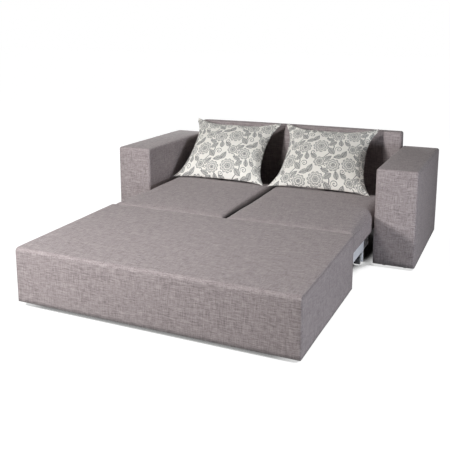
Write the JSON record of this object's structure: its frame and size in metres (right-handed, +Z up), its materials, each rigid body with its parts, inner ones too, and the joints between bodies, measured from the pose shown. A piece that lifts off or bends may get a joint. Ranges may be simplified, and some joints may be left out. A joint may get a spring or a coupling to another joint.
{
  "type": "sleeper sofa with pull-out bed",
  "caption": "Box-arm sleeper sofa, opened as a bed: a wheeled box pulls out from between the arms and the seat cushions fold back level with it, on a steel carriage.",
  "frame": {"origin": "on the floor under the middle of the opened sofa", "axes": "+X to the sofa's right as seen from the front, +Y from the bed's foot to the sofa's back, +Z up"},
  "size_m": [1.98, 2.164, 0.6981],
  "materials": {
    "upholstery_fabric": "taupe grey slub weave",
    "pillow_fabric": "cream cotton with a grey floral print",
    "foam": "cut foam and fibre filling",
    "timber": "planed softwood",
    "plywood": "raw plywood",
    "white_steel": "white powder coat",
    "zinc_steel": "zinc plated",
    "wheel_plastic": "dark grey moulded",
    "black_plastic": "black moulded",
    "dust_sheet": "black non-woven sheet",
    "slat_wood": "beech"
  },
  "bodies": {
    "sofa_body": {"back_cover": "upholstery_fabric", "back_dust_cover": "dust_sheet", "back_frame": "timber", "back_front_panel": "plywood", "back_rear_panel": "plywood", "barrel_nuts": "zinc_steel", "joining_bolts": "zinc_steel", "left_arm_cover": "upholstery_fabric", "left_arm_dust_cover": "dust_sheet", "left_arm_frame": "timber", "left_arm_glides": "black_plastic", "left_arm_shell": "plywood", "right_arm_cover": "upholstery_fabric", "right_arm_dust_cover": "dust_sheet", "right_arm_frame": "timber", "right_arm_glides": "black_plastic", "right_arm_shell": "plywood"},
    "pull_out_box": {"box_front_panel": "plywood", "box_left_panel": "plywood", "box_right_panel": "plywood", "box_deck": "plywood", "deck_ribs": "timber", "corner_glue_blocks": "timber", "stop_blocks": "timber", "deck_screws": "zinc_steel", "hinge_strip": "upholstery_fabric", "box_wheel_brackets": "zinc_steel", "bed_cover": "upholstery_fabric", "mattress_foam": "foam"},
    "carriage": {"carriage_cross_tubes": "white_steel", "carriage_left_rail": "white_steel", "carriage_longerons": "white_steel", "carriage_rear_legs": "white_steel", "carriage_right_rail": "white_steel", "carriage_side_legs": "white_steel", "carriage_slats": "slat_wood", "carriage_stop_lugs": "white_steel", "carriage_wheel_brackets": "zinc_steel", "tube_end_caps": "black_plastic"},
    "left_seat_cushion": {"left_seat_cover": "upholstery_fabric", "left_seat_foam": "foam"},
    "right_seat_cushion": {"right_seat_cover": "upholstery_fabric", "right_seat_foam": "foam"},
    "left_pillow": {"left_pillow_cover": "pillow_fabric", "left_pillow_filling": "foam"},
    "right_pillow": {"right_pillow_cover": "pillow_fabric", "right_pillow_filling": "foam"},
    "box_wheel_front_left": {"box_wheel_front_left": "wheel_plastic"},
    "box_wheel_front_right": {"box_wheel_front_right": "wheel_plastic"},
    "box_wheel_rear_left": {"box_wheel_rear_left": "wheel_plastic"},
    "box_wheel_rear_right": {"box_wheel_rear_right": "wheel_plastic"},
    "carriage_wheel_front_left": {"carriage_wheel_front_left": "wheel_plastic"},
    "carriage_wheel_front_right": {"carriage_wheel_front_right": "wheel_plastic"},
    "carriage_wheel_middle_left": {"carriage_wheel_middle_left": "wheel_plastic"},
    "carriage_wheel_middle_right": {"carriage_wheel_middle_right": "wheel_plastic"},
    "carriage_wheel_rear_left": {"carriage_wheel_rear_left": "wheel_plastic"},
    "carriage_wheel_rear_right": {"carriage_wheel_rear_right": "wheel_plastic"}
  },
  "joints": [
    {"name": "bed_slide", "type": "slide", "parent": "sofa_body", "child": "pull_out_box", "axis": [0, 1, 0], "range_m": [0, 1.225]},
    {"name": "carriage_slide", "type": "slide", "parent": "sofa_body", "child": "carriage", "axis": [0, 1, 0], "range_m": [0, 0.457]},
    {"name": "left_seat_fold", "type": "hinge", "parent": "pull_out_box", "child": "left_seat_cushion", "pos_m": [-0.372, -0.223, 0.3292], "axis": [1, 0, 0], "range_deg": [0, 180]},
    {"name": "left_pillow_shift", "type": "hinge", "parent": "sofa_body", "child": "left_pillow", "pos_m": [-0.388, 0.4675, 0.9366], "axis": [1, 0, 0], "range_deg": [0, 34.5], "deforming": ["left_pillow_cover", "left_pillow_filling"]},
    {"name": "right_seat_fold", "type": "hinge", "parent": "pull_out_box", "child": "right_seat_cushion", "pos_m": [0.372, -0.223, 0.3292], "axis": [1, 0, 0], "range_deg": [0, 180]},
    {"name": "right_pillow_shift", "type": "hinge", "parent": "sofa_body", "child": "right_pillow", "pos_m": [0.322, 0.4675, 0.9366], "axis": [1, 0, 0], "range_deg": [0, 34.5], "deforming": ["right_pillow_cover", "right_pillow_filling"]},
    {"name": "box_wheel_front_left_roll", "type": "hinge", "parent": "pull_out_box", "child": "box_wheel_front_left", "pos_m": [-0.707, -0.992, 0.0225], "axis": [1, 0, 0], "continuous": true},
    {"name": "box_wheel_front_right_roll", "type": "hinge", "parent": "pull_out_box", "child": "box_wheel_front_right", "pos_m": [0.707, -0.992, 0.0225], "axis": [1, 0, 0], "continuous": true},
    {"name": "box_wheel_rear_left_roll", "type": "hinge", "parent": "pull_out_box", "child": "box_wheel_rear_left", "pos_m": [-0.707, -0.314, 0.0225], "axis": [1, 0, 0], "continuous": true},
    {"name": "box_wheel_rear_right_roll", "type": "hinge", "parent": "pull_out_box", "child": "box_wheel_rear_right", "pos_m": [0.707, -0.314, 0.0225], "axis": [1, 0, 0], "continuous": true},
    {"name": "carriage_wheel_front_left_roll", "type": "hinge", "parent": "carriage", "child": "carriage_wheel_front_left", "pos_m": [-0.652, -0.254, 0.0225], "axis": [1, 0, 0], "continuous": true},
    {"name": "carriage_wheel_front_right_roll", "type": "hinge", "parent": "carriage", "child": "carriage_wheel_front_right", "pos_m": [0.652, -0.254, 0.0225], "axis": [1, 0, 0], "continuous": true},
    {"name": "carriage_wheel_middle_left_roll", "type": "hinge", "parent": "carriage", "child": "carriage_wheel_middle_left", "pos_m": [-0.663, 0.2245, 0.0225], "axis": [1, 0, 0], "continuous": true},
    {"name": "carriage_wheel_middle_right_roll", "type": "hinge", "parent": "carriage", "child": "carriage_wheel_middle_right", "pos_m": [0.663, 0.2245, 0.0225], "axis": [1, 0, 0], "continuous": true},
    {"name": "carriage_wheel_rear_left_roll", "type": "hinge", "parent": "carriage", "child": "carriage_wheel_rear_left", "pos_m": [-0.3265, 0.5005, 0.0225], "axis": [1, 0, 0], "continuous": true},
    {"name": "carriage_wheel_rear_right_roll", "type": "hinge", "parent": "carriage", "child": "carriage_wheel_rear_right", "pos_m": [0.3265, 0.5005, 0.0225], "axis": [1, 0, 0], "continuous": true}
  ],
  "couplings": [
    {"joint": "carriage_slide", "follows": "bed_slide", "ratio": 0.37306},
    {"joint": "left_seat_fold", "follows": "bed_slide", "rad_per_m": 2.5646},
    {"joint": "left_pillow_shift", "follows": "bed_slide", "rad_per_m": 0.49154},
    {"joint": "right_seat_fold", "follows": "bed_slide", "rad_per_m": 2.5646},
    {"joint": "right_pillow_shift", "follows": "bed_slide", "rad_per_m": 0.49154}
  ]
}
